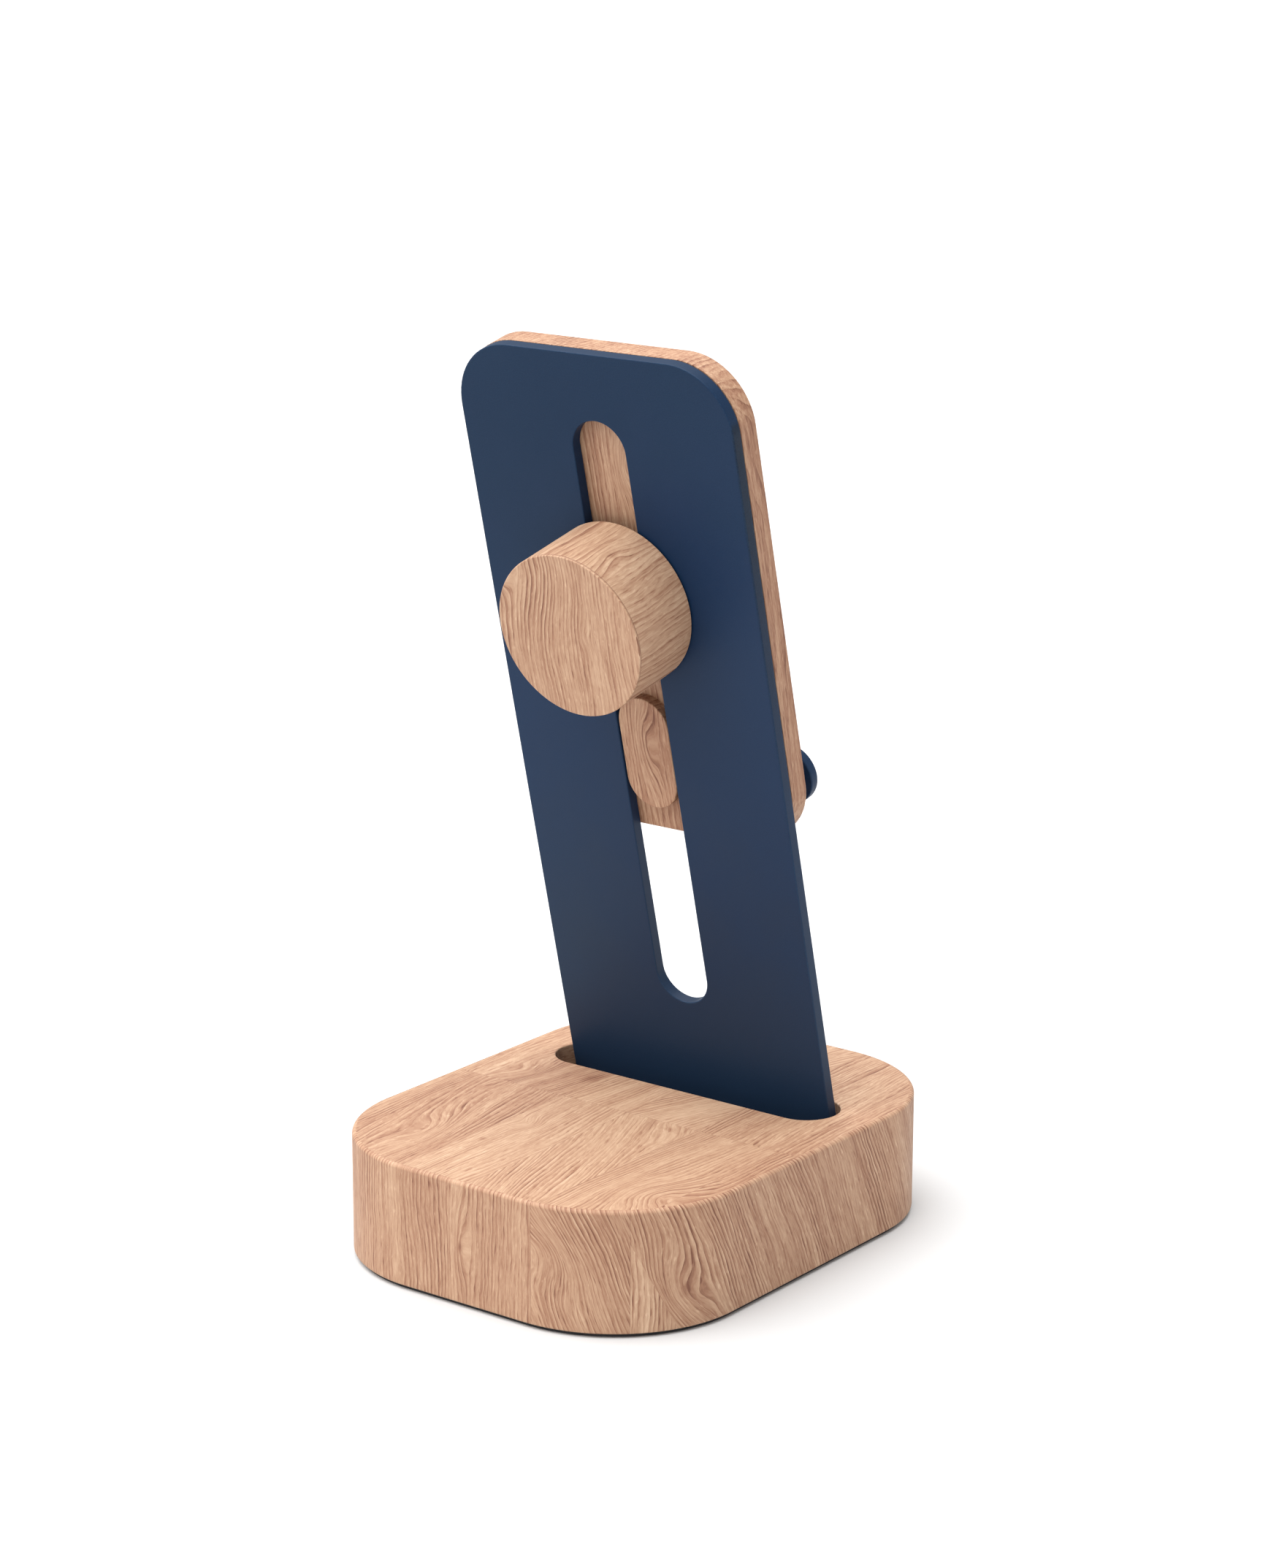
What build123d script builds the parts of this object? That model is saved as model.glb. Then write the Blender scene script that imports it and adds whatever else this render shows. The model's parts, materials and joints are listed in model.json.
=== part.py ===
from build123d import *
from math import cos, radians, sin, sqrt, tan
import os

# A height-adjustable phone stand. An oak base holds a leaning steel plate with a long slot. An oak
# backrest with two pegs runs up and down the slot and is clamped from behind by a turned oak knob.
# Millimetres, +Z up. The phone faces -Y and the origin is on the table under the base's centre.

# ---------------------------------------------------------------- driving dimensions

base_width = 105.0
base_depth = 133.6
base_height = 30.0
base_corner = 34.4
base_top_round = 1.0
base_bottom_bevel = 0.5

pad_thickness = 1.0
pad_inset = 1.2

pocket_length = 83.8
pocket_width = 17.2
pocket_y = -23.8
pocket_depth = 17.0
pocket_bevel = 0.4

lean = 13.7
plate_width = 79.0
plate_thickness = 3.0
plate_top = 192.3
plate_corner = 16.5
plate_rear_y = -24.75
shoulder_depth = 6.5
shoulder_corner = 1.0
tongue_width = 62.0
bend_inside = 2.0
foot_clearance = 0.4

slot_width = 15.2
slot_bottom = 22.1
slot_top = 175.8

slide_gap = 0.1
backrest_thickness = 6.0
backrest_bottom = 69.0
backrest_corner = 16.2
backrest_round = 0.5

key_width = 14.6
key_bottom = 75.8
key_top = 105.0
key_recess = 0.35
key_round = 0.3
dowel_radius = 1.5
dowel_in_board = 3.6
dowel_in_key = 2.0
dowel_spacing = 14.0

peg_x = 25.9
peg_height = 80.2
peg_flange_radius = 7.6
peg_flange_thickness = 2.6
peg_neck_radius = 4.0
peg_neck_length = 10.0
peg_round = 0.4
peg_hole_depth = 7.5

knob_height = 130.7
knob_radius = 20.3
knob_front = 0.4
knob_rear = 20.95
knob_bore_depth = 18.0
veneer_thickness = 0.6
knob_bevel = 0.3

washer_radius = 16.0
washer_thickness = 1.2
washer_gap = 0.05
insert_radius = 4.5
insert_flange_radius = 5.5
insert_flange = 0.8
insert_length = 13.0
bush_length = 2.6

m4_radius = 2.0
m4_head_radius = 3.75
m4_socket = 2.5
m6_radius = 3.0
m6_head_radius = 6.0
m6_square = 6.0
socket_depth = 1.4
screw_tip = 0.5
thread_fit = 0.05
hole_clearance = 0.3
foot_screw_length = 16.0
foot_screw_spacing = 22.0
foot_screw_inset = 6.0
foot_screw_sink = 0.5
peg_screw_length = 12.0
peg_screw_sink = 0.2
bolt_length = 25.0
bolt_sink = 0.3

# ---------------------------------------------------------------- derived places

base_top = pad_thickness + base_height
pocket_floor = base_top - pocket_depth
foot_top = pocket_floor + plate_thickness
foot_end = pocket_y + pocket_width / 2 - foot_clearance
foot_screw_y = foot_end - foot_screw_inset
foot_screw_low = pad_thickness + foot_screw_sink
tilt = radians(lean)

# Places on the plate are its own x, the distance up its face from the base's top, and the distance
# rearwards from its rear face. The knob and the clamping pieces turn about an axis through it.
plate_face = Plane((0, plate_rear_y, base_top), x_dir=(-1, 0, 0), z_dir=(0, cos(tilt), -sin(tilt)))
knob_face = plate_face.shift_origin(plate_face.from_local_coords((0, knob_height, 0)))
knob_axis = Axis(knob_face.origin, knob_face.z_dir)
# half sections of the clamping pieces are drawn here: radius, then distance rearwards
knob_section = Plane(knob_face.origin, x_dir=knob_face.x_dir, z_dir=-knob_face.y_dir)
board_back = -plate_thickness - slide_gap
board_front = board_back - backrest_thickness
key_centre = (key_bottom + key_top) / 2
bolt_low = board_front + bolt_sink
washer_back = washer_gap + washer_thickness
knob_recess = washer_back + washer_gap
veneer_front = knob_rear - veneer_thickness
peg_length = peg_neck_length + peg_flange_thickness


def save(piece, name):
    piece.part.label = name
    export_step(piece.part, f"parts/{name}.step")


def plate_y(height):
    # the plate's rear face at a height above the base's top face
    return plate_rear_y + height * tan(tilt)


os.makedirs("parts", exist_ok=True)

# ---------------------------------------------------------------- screws, placed below


def countersunk_section(head_radius, radius, length):
    # half section of a countersunk screw with its head's flat face at zero
    return [
        (0, 0),
        (head_radius, 0),
        (radius, head_radius - radius),
        (radius, length - screw_tip),
        (radius - screw_tip, length),
        (0, length),
    ]


def m4_screw(length):
    with BuildPart() as screw:
        with BuildSketch(Plane.XZ):
            with BuildLine():
                Polyline(*countersunk_section(m4_head_radius, m4_radius, length), close=True)
            make_face()
        revolve(axis=Axis.Z)
        with BuildSketch():
            RegularPolygon(m4_socket / 2, 6, major_radius=False)
        extrude(amount=socket_depth, mode=Mode.SUBTRACT)
    return screw.part


foot_screw = m4_screw(foot_screw_length)
peg_screw = m4_screw(peg_screw_length)

# ---------------------------------------------------------------- base

underside = Plane((0, foot_screw_y, pad_thickness), z_dir=(0, 0, -1))

with BuildPart() as base_block:
    with BuildSketch(Plane.XY.offset(pad_thickness)):
        RectangleRounded(base_width, base_depth, base_corner)
    extrude(amount=base_height)
    fillet(base_block.edges().group_by(Axis.Z)[-1], base_top_round)
    chamfer(base_block.edges().group_by(Axis.Z)[0], base_bottom_bevel)
    with BuildSketch(Plane.XY.offset(base_top)):
        with Locations((0, pocket_y)):
            SlotOverall(pocket_length, pocket_width)
    extrude(amount=-pocket_depth, mode=Mode.SUBTRACT)
    chamfer(base_block.faces().sort_by(Axis.Z)[-1].inner_wires()[0].edges(), pocket_bevel)
    with Locations(underside):
        with GridLocations(foot_screw_spacing, 0, 3, 1):
            CounterSinkHole(
                radius=m4_radius + hole_clearance,
                counter_sink_radius=m4_head_radius + foot_screw_sink,
                counter_sink_angle=90,
            )
save(base_block, "base_block")

with BuildPart() as base_pad:
    with BuildSketch():
        RectangleRounded(
            base_width - 2 * pad_inset,
            base_depth - 2 * pad_inset,
            base_corner - pad_inset,
        )
    extrude(amount=pad_thickness)
save(base_pad, "base_pad")

# ---------------------------------------------------------------- upright

# One sheet bent into an L: its side view is extruded, then cut to its outline seen from behind.
sheet_along = plate_thickness / cos(tilt)
over_top = plate_top + plate_thickness
under_floor = plate_thickness + pocket_depth / cos(tilt)

with BuildPart() as upright:
    with BuildSketch(Plane.YZ):
        with BuildLine():
            Polyline(
                (plate_y(over_top), base_top + over_top),
                (plate_y(foot_top - base_top), foot_top),
                (foot_end, foot_top),
                (foot_end, pocket_floor),
                (plate_y(-pocket_depth) - sheet_along, pocket_floor),
                (plate_y(over_top) - sheet_along, base_top + over_top),
                close=True,
            )
        make_face()
    extrude(amount=plate_width / 2, both=True)
    bend_edges = upright.edges().filter_by(Axis.X).group_by(Axis.Z)
    fillet(bend_edges[1].sort_by(Axis.Y)[0], bend_inside)
    heel = upright.edges().filter_by(Axis.X).group_by(Axis.Z)[0].sort_by(Axis.Y)[0]
    fillet(heel, bend_inside + plate_thickness)
    with BuildSketch(plate_face) as outline:
        with Locations((0, (plate_top - shoulder_depth) / 2)):
            Rectangle(plate_width, plate_top + shoulder_depth)
        fillet(outline.vertices().group_by(Axis.Y)[-1], plate_corner)
        fillet(outline.vertices().group_by(Axis.Y)[0], shoulder_corner)
        with Locations((0, -under_floor / 2)):
            Rectangle(tongue_width, under_floor)
    extrude(amount=base_depth, both=True, mode=Mode.INTERSECT)
    with BuildSketch(plate_face):
        with Locations((0, (slot_bottom + slot_top) / 2)):
            SlotOverall(slot_top - slot_bottom, slot_width, rotation=90)
    extrude(amount=-plate_thickness, mode=Mode.SUBTRACT)
    with Locations(underside):
        with GridLocations(foot_screw_spacing, 0, 3, 1):
            Hole(m4_radius + thread_fit, depth=foot_top - pad_thickness)
save(upright, "upright")

with BuildPart() as foot_screws:
    with Locations(Plane((0, foot_screw_y, foot_screw_low))):
        with GridLocations(foot_screw_spacing, 0, 3, 1):
            add(foot_screw)
save(foot_screws, "foot_screws")

# ---------------------------------------------------------------- backrest

board_height = plate_top - backrest_bottom

with BuildPart() as backrest:
    with BuildSketch(plate_face.offset(board_front)):
        with Locations((0, backrest_bottom + board_height / 2)):
            RectangleRounded(plate_width, board_height, backrest_corner)
    extrude(amount=backrest_thickness)
    front = backrest.faces().sort_by(Axis.Y)[0]
    fillet(front.edges(), backrest_round)
    # countersinks for the pegs' screws in the rear face, dowel holes between them
    with Locations(plate_face.offset(board_back)):
        with Locations((-peg_x, peg_height), (peg_x, peg_height)):
            CounterSinkHole(
                radius=m4_radius + hole_clearance,
                counter_sink_radius=m4_head_radius + peg_screw_sink,
                depth=backrest_thickness,
                counter_sink_angle=90,
            )
        with Locations((0, key_centre)):
            with GridLocations(0, dowel_spacing, 1, 2):
                Hole(dowel_radius, depth=dowel_in_board)
    # the bolt's countersink in the front face, and its square neck's hole
    with Locations(Plane(knob_face.offset(board_front).origin, z_dir=-knob_face.z_dir)):
        CounterSinkHole(
            radius=m6_radius + thread_fit,
            counter_sink_radius=m6_head_radius + bolt_sink,
            depth=backrest_thickness,
            counter_sink_angle=90,
        )
    with BuildSketch(knob_face.offset(board_front)):
        Rectangle(m6_square, m6_square)
    extrude(amount=backrest_thickness, mode=Mode.SUBTRACT)
save(backrest, "backrest")

with BuildPart() as guide_key:
    with BuildSketch(plate_face.offset(board_back)):
        with Locations((0, key_centre)):
            SlotOverall(key_top - key_bottom, key_width, rotation=90)
    extrude(amount=-key_recess - board_back)
    fillet(guide_key.faces().sort_by(Axis.Y)[-1].edges(), key_round)
    with BuildSketch(plate_face.offset(board_back)):
        with Locations((0, key_centre)):
            with GridLocations(0, dowel_spacing, 1, 2):
                Circle(dowel_radius)
    extrude(amount=dowel_in_key, mode=Mode.SUBTRACT)
save(guide_key, "guide_key")

with BuildPart() as key_dowels:
    with BuildSketch(plate_face.offset(board_back - dowel_in_board)):
        with Locations((0, key_centre)):
            with GridLocations(0, dowel_spacing, 1, 2):
                Circle(dowel_radius)
    extrude(amount=dowel_in_board + dowel_in_key)
save(key_dowels, "key_dowels")

# ---------------------------------------------------------------- pegs

peg_face = Plane(
    plate_face.from_local_coords((0, peg_height, board_front)),
    x_dir=plate_face.x_dir,
    z_dir=-plate_face.z_dir,
)

with BuildPart() as peg:
    Cylinder(peg_neck_radius, peg_neck_length, align=(Align.CENTER, Align.CENTER, Align.MIN))
    with BuildSketch(Plane.XY.offset(peg_neck_length)):
        Circle(peg_flange_radius)
    extrude(amount=peg_flange_thickness)
    flange_edges = peg.edges().filter_by(GeomType.CIRCLE).group_by(SortBy.RADIUS)[-1]
    fillet(flange_edges, peg_round)
    with BuildSketch():
        Circle(m4_radius + thread_fit)
    extrude(amount=peg_hole_depth, mode=Mode.SUBTRACT)

for name, x in (("peg_right", peg_x), ("peg_left", -peg_x)):
    with BuildPart() as placed_peg:
        with Locations(peg_face):
            with Locations((x, 0)):
                add(peg.part)
    save(placed_peg, name)

with BuildPart() as peg_screws:
    with Locations(peg_face.offset(peg_screw_sink - backrest_thickness)):
        with GridLocations(2 * peg_x, 0, 2, 1):
            add(peg_screw)
save(peg_screws, "peg_screws")

# ---------------------------------------------------------------- clamp

square_start = bolt_low + m6_head_radius - m6_square * sqrt(2) / 2

with BuildPart() as clamp_bolt:
    with BuildSketch(knob_section):
        with BuildLine():
            section = countersunk_section(m6_head_radius, m6_radius, bolt_length)
            Polyline(*[(r, bolt_low + z) for r, z in section], close=True)
        make_face()
    revolve(axis=knob_axis)
    with BuildSketch(knob_face.offset(square_start)):
        Rectangle(m6_square, m6_square)
    extrude(amount=board_back - square_start)
save(clamp_bolt, "clamp_bolt")


def ring(inside, outside, start, length):
    # half section of a ring round the knob's axis
    return [
        (inside, start),
        (outside, start),
        (outside, start + length),
        (inside, start + length),
    ]


bush_start = -(plate_thickness + bush_length) / 2
with BuildPart() as guide_bush:
    with BuildSketch(knob_section):
        with BuildLine():
            Polyline(
                *ring(m6_radius + hole_clearance, key_width / 2, bush_start, bush_length),
                close=True,
            )
        make_face()
    revolve(axis=knob_axis)
save(guide_bush, "guide_bush")

with BuildPart() as friction_washer:
    with BuildSketch(knob_section):
        with BuildLine():
            Polyline(
                *ring(m6_radius + hole_clearance, washer_radius, washer_gap, washer_thickness),
                close=True,
            )
        make_face()
    revolve(axis=knob_axis)
save(friction_washer, "friction_washer")

insert_start = knob_recess
insert_shoulder = insert_start + insert_flange
insert_end = insert_start + insert_length

with BuildPart() as knob_insert:
    with BuildSketch(knob_section):
        with BuildLine():
            Polyline(
                (m6_radius + thread_fit, insert_start),
                (insert_flange_radius, insert_start),
                (insert_flange_radius, insert_shoulder),
                (insert_radius, insert_shoulder),
                (insert_radius, insert_end),
                (m6_radius + thread_fit, insert_end),
                close=True,
            )
        make_face()
    revolve(axis=knob_axis)
save(knob_insert, "knob_insert")

with BuildPart() as knob_body:
    with BuildSketch(knob_section):
        with BuildLine():
            Polyline(
                (0, knob_bore_depth),
                (insert_radius, knob_bore_depth),
                (insert_radius, insert_shoulder),
                (insert_flange_radius, insert_shoulder),
                (insert_flange_radius, knob_recess),
                (washer_radius + hole_clearance, knob_recess),
                (washer_radius + hole_clearance, knob_front),
                (knob_radius - knob_bevel, knob_front),
                (knob_radius, knob_front + knob_bevel),
                (knob_radius, veneer_front),
                (0, veneer_front),
                close=True,
            )
        make_face()
    revolve(axis=knob_axis)
save(knob_body, "knob_body")

with BuildPart() as knob_cap:
    with BuildSketch(knob_face.offset(veneer_front)):
        Circle(knob_radius)
    extrude(amount=veneer_thickness)
    chamfer(knob_cap.faces().sort_by(Axis.Y)[-1].edges(), knob_bevel)
save(knob_cap, "knob_cap")
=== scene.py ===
import json
from math import atan2, cos, pi, radians, sin
import bmesh
import bpy
from mathutils import Matrix, Vector


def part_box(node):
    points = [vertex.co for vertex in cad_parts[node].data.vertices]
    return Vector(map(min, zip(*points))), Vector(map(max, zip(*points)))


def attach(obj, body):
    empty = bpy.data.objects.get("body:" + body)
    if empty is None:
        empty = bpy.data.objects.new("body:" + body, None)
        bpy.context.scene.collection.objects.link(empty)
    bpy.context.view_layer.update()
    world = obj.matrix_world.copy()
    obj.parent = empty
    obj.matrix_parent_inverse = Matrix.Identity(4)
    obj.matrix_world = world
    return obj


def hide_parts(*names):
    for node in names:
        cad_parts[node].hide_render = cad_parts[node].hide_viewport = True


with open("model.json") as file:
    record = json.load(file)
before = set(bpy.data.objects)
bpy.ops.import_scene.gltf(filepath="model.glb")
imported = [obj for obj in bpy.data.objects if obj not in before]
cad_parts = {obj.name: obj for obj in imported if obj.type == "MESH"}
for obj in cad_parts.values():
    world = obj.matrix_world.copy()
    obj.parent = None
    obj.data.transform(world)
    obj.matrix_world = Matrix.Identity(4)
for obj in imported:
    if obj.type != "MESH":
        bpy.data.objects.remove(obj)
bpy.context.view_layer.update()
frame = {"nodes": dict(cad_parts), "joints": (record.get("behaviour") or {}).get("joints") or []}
mm = 0.001
tiny = 1e-6  # metres
mergeGap = 1e-7
flatNormal = 0.999
sharpAngle = radians(35)
wearAndSheenAngle = radians(24)
joints = {joint["name"]: joint for joint in frame["joints"]}


# shader maths

class Value:
    # a socket that can stand in a sum, where every sign adds a Math node
    def __init__(self, look, socket):
        self.look = look
        self.socket = socket

    def out(self, name):
        return Value(self.look, self.socket.node.outputs[name])

    def maths(self, operation, *others):
        return self.look.maths(operation, self, *others)

    def __add__(self, other):
        return self.maths("ADD", other)

    def __sub__(self, other):
        return self.maths("SUBTRACT", other)

    def __rsub__(self, other):
        return self.look.maths("SUBTRACT", other, self)

    def __mul__(self, other):
        return self.maths("MULTIPLY", other)

    def __truediv__(self, other):
        return self.maths("DIVIDE", other)

    def __pow__(self, other):
        return self.maths("POWER", other)

    def __gt__(self, other):
        return self.maths("GREATER_THAN", other)

    def __lt__(self, other):
        return self.maths("LESS_THAN", other)

    __radd__ = __add__
    __rmul__ = __mul__


class Look:
    # a material or the world, and the nodes in it
    def __init__(self, name, owner=None):
        self.owner = owner or bpy.data.materials.new(name)
        self.owner.use_nodes = True
        self.tree = self.owner.node_tree
        self.tree.nodes.clear()

    def node(self, kind, settings=None, inputs=None, output=0):
        made = self.tree.nodes.new(kind)
        for key, value in (settings or {}).items():
            if key == "stops":
                self.setStops(made.color_ramp, value)
            else:
                setattr(made, key, value)
        for key, value in (inputs or {}).items():
            self.feed(made.inputs[key], value)
        return Value(self, made.outputs[output]) if made.outputs else made

    def setStops(self, ramp, stops):
        while len(ramp.elements) < len(stops):
            ramp.elements.new(0.5)
        for element, (place, colour) in zip(ramp.elements, stops):
            element.position = place
            element.color = (*colour, 1)

    def feed(self, socket, value):
        if isinstance(value, Value):
            self.tree.links.new(value.socket, socket)
        elif socket.type == "RGBA" and len(value) == 3:
            socket.default_value = (*value, 1)
        else:
            socket.default_value = value

    def maths(self, operation, *values):
        return self.node("ShaderNodeMath", {"operation": operation}, dict(enumerate(values)))

    def between(self, value, low, high, newLow=0.0, newHigh=1.0):
        settings = {"interpolation_type": "SMOOTHSTEP"}
        places = {"Value": value, "From Min": low, "From Max": high, "To Min": newLow, "To Max": newHigh}
        return self.node("ShaderNodeMapRange", settings, places)

    def point(self, x, y, z):
        return self.node("ShaderNodeCombineXYZ", None, {0: x, 1: y, 2: z})

    def noise(self, point, detail=2.0, roughness=0.5):
        inputs = {"Vector": point, "Scale": 1.0, "Detail": detail, "Roughness": roughness}
        return self.node("ShaderNodeTexNoise", None, inputs)

    def mix(self, factor, first, second, blend="MIX"):
        settings = {"data_type": "RGBA", "blend_type": blend}
        return self.node("ShaderNodeMix", settings, {0: factor, 6: first, 7: second}, 2)

    def place(self, origin=(0, 0, 0), turn=(0, 0, 0)):
        # the piece's own coordinates in millimetres, from an origin and turned
        where = self.node("ShaderNodeTexCoord").out("Object")
        inputs = {"Vector": where, "Location": origin, "Rotation": turn, "Scale": (mm, mm, mm)}
        return self.apart(self.node("ShaderNodeMapping", {"vector_type": "TEXTURE"}, inputs))

    def worn(self, breakUp):
        # the edges of a piece, where rubbing and a painted highlight make the colour paler, broken up by a
        # noise
        edges = self.node("ShaderNodeAttribute", {"attribute_name": "worn"}).out("Fac")
        return edges * self.between(breakUp, 0.35, 0.65, 0.2, 1.0)

    def apart(self, point):
        parts = self.node("ShaderNodeSeparateXYZ", None, {0: point})
        return parts, parts.out("Y"), parts.out("Z")

    def surface(self, finish, colour, roughness, height=None, depth=0.0):
        inputs = {"Base Color": colour, "Roughness": roughness, **finish}
        if height is not None:
            inputs["Normal"] = self.node("ShaderNodeBump", None, {"Height": height, "Distance": depth})
        shader = self.node("ShaderNodeBsdfPrincipled", None, inputs)
        self.node("ShaderNodeOutputMaterial", None, {"Surface": shader})
        return self.owner


# the plate's own axes are x across, y up it and z rearwards, from where the knob's axis meets its rear face
plate = {"thickness": 3.0 * mm, "slideGap": 0.1 * mm, "topCorner": 16.5 * mm, "shoulderBelow": 6.5 * mm,
         "shoulderCorner": 1.0 * mm, "tongueWidth": 62.0 * mm, "bendInside": 2.0 * mm, "bendSteps": 14,
         "footGap": 0.4 * mm, "slotWidth": 15.2 * mm, "slotAbove": 45.1 * mm, "slotBelow": 108.6 * mm,
         "edgeRound": 0.3 * mm}

upAxis = Vector(joints["height_slide"]["axis"]).normalized()
rearAxis = Vector(joints["knob_turn"]["axis"]).normalized()
sideAxis = upAxis.cross(rearAxis)
knobPoint = Vector(joints["knob_turn"]["pos_m"])


def reach(node, axis):
    # how far a node goes along an axis, lowest and highest
    places = [corner.co.dot(axis) for corner in frame["nodes"][node].data.vertices]
    return min(places), max(places)


plateRear = reach("backrest", rearAxis)[1] + plate["slideGap"] + plate["thickness"]
plateOrigin = knobPoint + rearAxis * (plateRear - knobPoint.dot(rearAxis))
plateAxes = Matrix((sideAxis, upAxis, rearAxis)).transposed()
plateTurn = plateAxes.to_euler()
plateFrame = Matrix.Translation(plateOrigin) @ plateAxes.to_4x4()


def onPlate(node):
    # a node's lowest and highest corner in the plate's own axes
    spans = [(*reach(node, axis), plateOrigin.dot(axis)) for axis in (sideAxis, upAxis, rearAxis)]
    lowest = Vector([low - start for low, _, start in spans])
    return lowest, Vector([high - start for _, high, start in spans])


# mesh helpers

def block(bm, low, high):
    made = bmesh.ops.create_cube(bm, size=1)["verts"]
    bmesh.ops.scale(bm, vec=high - low, verts=made)
    bmesh.ops.translate(bm, vec=(high + low) / 2, verts=made)


def standing(bm):
    # the edges that run along z
    return [edge for edge in bm.edges if abs(edge.verts[0].co.z - edge.verts[1].co.z) > tiny]


def roundEdges(bm, edges, radius, segments):
    bmesh.ops.bevel(bm, geom=edges, offset=radius, segments=segments, profile=0.5,
                    affect="EDGES", material=-1)
    bm.normal_update()


def roundedBlock(bm, low, high, corner, segments):
    # a block with its four standing edges rounded, in an empty bmesh
    block(bm, low, high)
    roundEdges(bm, standing(bm), corner, segments)


def flatEnd(bm, side):
    # the largest flat face looking along z, up for side 1 and down for side -1
    return max(bm.faces, key=lambda face: face.calc_area() if face.normal.z * side > flatNormal else 0)


def openEnd(bm, side):
    # takes a flat end away and returns the edges round the opening
    face = flatEnd(bm, side)
    rim = list(face.edges)
    bmesh.ops.delete(bm, geom=[face], context="FACES_ONLY")
    return rim


def joinShell(bm, shell):
    # adds an open shell to a piece and returns the edges round its lower and its upper mouth
    mesh = bpy.data.meshes.new("shell")
    bmesh.ops.remove_doubles(shell, verts=shell.verts, dist=mergeGap)
    shell.to_mesh(mesh)
    shell.free()
    before = set(bm.edges)
    bm.from_mesh(mesh)
    heights = [corner.co.z for corner in mesh.vertices]
    middle = (min(heights) + max(heights)) / 2
    bpy.data.meshes.remove(mesh)
    mouths = [edge for edge in bm.edges if edge not in before and len(edge.link_faces) == 1]
    lower = [edge for edge in mouths if edge.verts[0].co.z < middle]
    return lower, [edge for edge in mouths if edge.verts[0].co.z > middle]


def flareMouth(bm, rim, radius, side, steps=4):
    # rounds a mouth outwards until it is flat with a face
    verts = {v for edge in rim for v in edge.verts}
    xs, ys = [v.co.x for v in verts], [v.co.y for v in verts]
    centre = Vector(((min(xs) + max(xs)) / 2, (min(ys) + max(ys)) / 2, 0))
    halfX, halfY = (max(xs) - min(xs)) / 2, (max(ys) - min(ys)) / 2
    out, rise = 0.0, 0.0
    for step in range(1, steps + 1):
        turn = step / steps * pi / 2
        newOut, newRise = radius * (1 - cos(turn)), radius * sin(turn)
        made = bmesh.ops.extrude_edge_only(bm, edges=rim)["geom"]
        verts = [item for item in made if isinstance(item, bmesh.types.BMVert)]
        rim = [item for item in made if isinstance(item, bmesh.types.BMEdge)]
        rim = [edge for edge in rim if len(edge.link_faces) == 1]
        stretch = ((halfX + newOut) / (halfX + out), (halfY + newOut) / (halfY + out), 1)
        bmesh.ops.scale(bm, vec=stretch, verts=verts, space=Matrix.Translation(-centre))
        bmesh.ops.translate(bm, vec=(0, 0, side * (newRise - rise)), verts=verts)
        out, rise = newOut, newRise
    return rim


def fillBetween(bm, *rims):
    # closes the flat face between an outer rim and the mouths in it
    edges = [edge for rim in rims for edge in rim]
    bmesh.ops.triangle_fill(bm, use_beauty=True, edges=edges)


def lathe(bm, profile, segments, centre=(0, 0)):
    # spins a line of (radius, z, rounding) points round an axis along z
    verts = [bm.verts.new((centre[0] + r, centre[1], z)) for r, z, _ in profile]
    for pair in zip(verts, verts[1:]):
        bm.edges.new(pair)
    for corner, (_, _, rounding) in zip(verts, profile):
        if rounding:
            bmesh.ops.bevel(bm, geom=[corner], offset=rounding, segments=3, profile=0.5,
                            affect="VERTICES", material=-1)
    bmesh.ops.spin(bm, geom=[*bm.verts, *bm.edges], cent=(*centre, 0), axis=(0, 0, 1), angle=2 * pi,
                   steps=segments, use_merge=True)


def pullFace(bm, face):
    # extrudes a face in place and returns the new one
    return bmesh.ops.extrude_discrete_faces(bm, faces=[face])["faces"][0]


def finishPiece(bm, name, body, node, looks, place=None):
    # cleans and shades a mesh, makes it an object, hangs it on its body's empty and hides the node it
    # replaces
    bmesh.ops.remove_doubles(bm, verts=bm.verts, dist=mergeGap)
    bmesh.ops.recalc_face_normals(bm, faces=bm.faces)
    if place is not None:
        bmesh.ops.transform(bm, matrix=place, verts=bm.verts)
    for face in bm.faces:
        face.smooth = True
    for edge in bm.edges:
        edge.smooth = not edge.is_manifold or edge.calc_face_angle() < sharpAngle
    # how tightly the surface bends at each corner, for the rubbed edges and their painted highlight
    worn = bm.verts.layers.float.new("worn")
    for corner in bm.verts:
        bend = max(edge.calc_face_angle_signed(0) for edge in corner.link_edges)
        corner[worn] = min(1, max(0, bend / wearAndSheenAngle - 0.5) * 2)
    mesh = bpy.data.meshes.new(name)
    bm.to_mesh(mesh)
    bm.free()
    for look in looks:
        mesh.materials.append(look)
    piece = bpy.data.objects.new(name, mesh)
    bpy.context.scene.collection.objects.link(piece)
    piece.modifiers.new("evenShading", "WEIGHTED_NORMAL").keep_sharp = True
    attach(piece, body)
    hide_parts(node)


# oak, in millimetres: across the grain, into the board and along the grain

oakTones = {"vein": (0.190, 0.078, 0.046), "brown": (0.338, 0.174, 0.104), "tan": (0.465, 0.283, 0.178),
            "pale": (0.635, 0.435, 0.292)}
oakStops = {"vein": 0.0, "brown": 0.34, "tan": 0.62, "pale": 1.0}
oakFinish = {"Specular IOR Level": 0.35}
# rubbed: how much paler the edges go, partly for wear and partly as a painted highlight
oakWood = {"plain": 0.52, "fleck": 0.16, "knot": 0.3, "rubbedAndSheen": 0.14, "ringFade": 1.8, "bump": 0.025 * mm}
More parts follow.
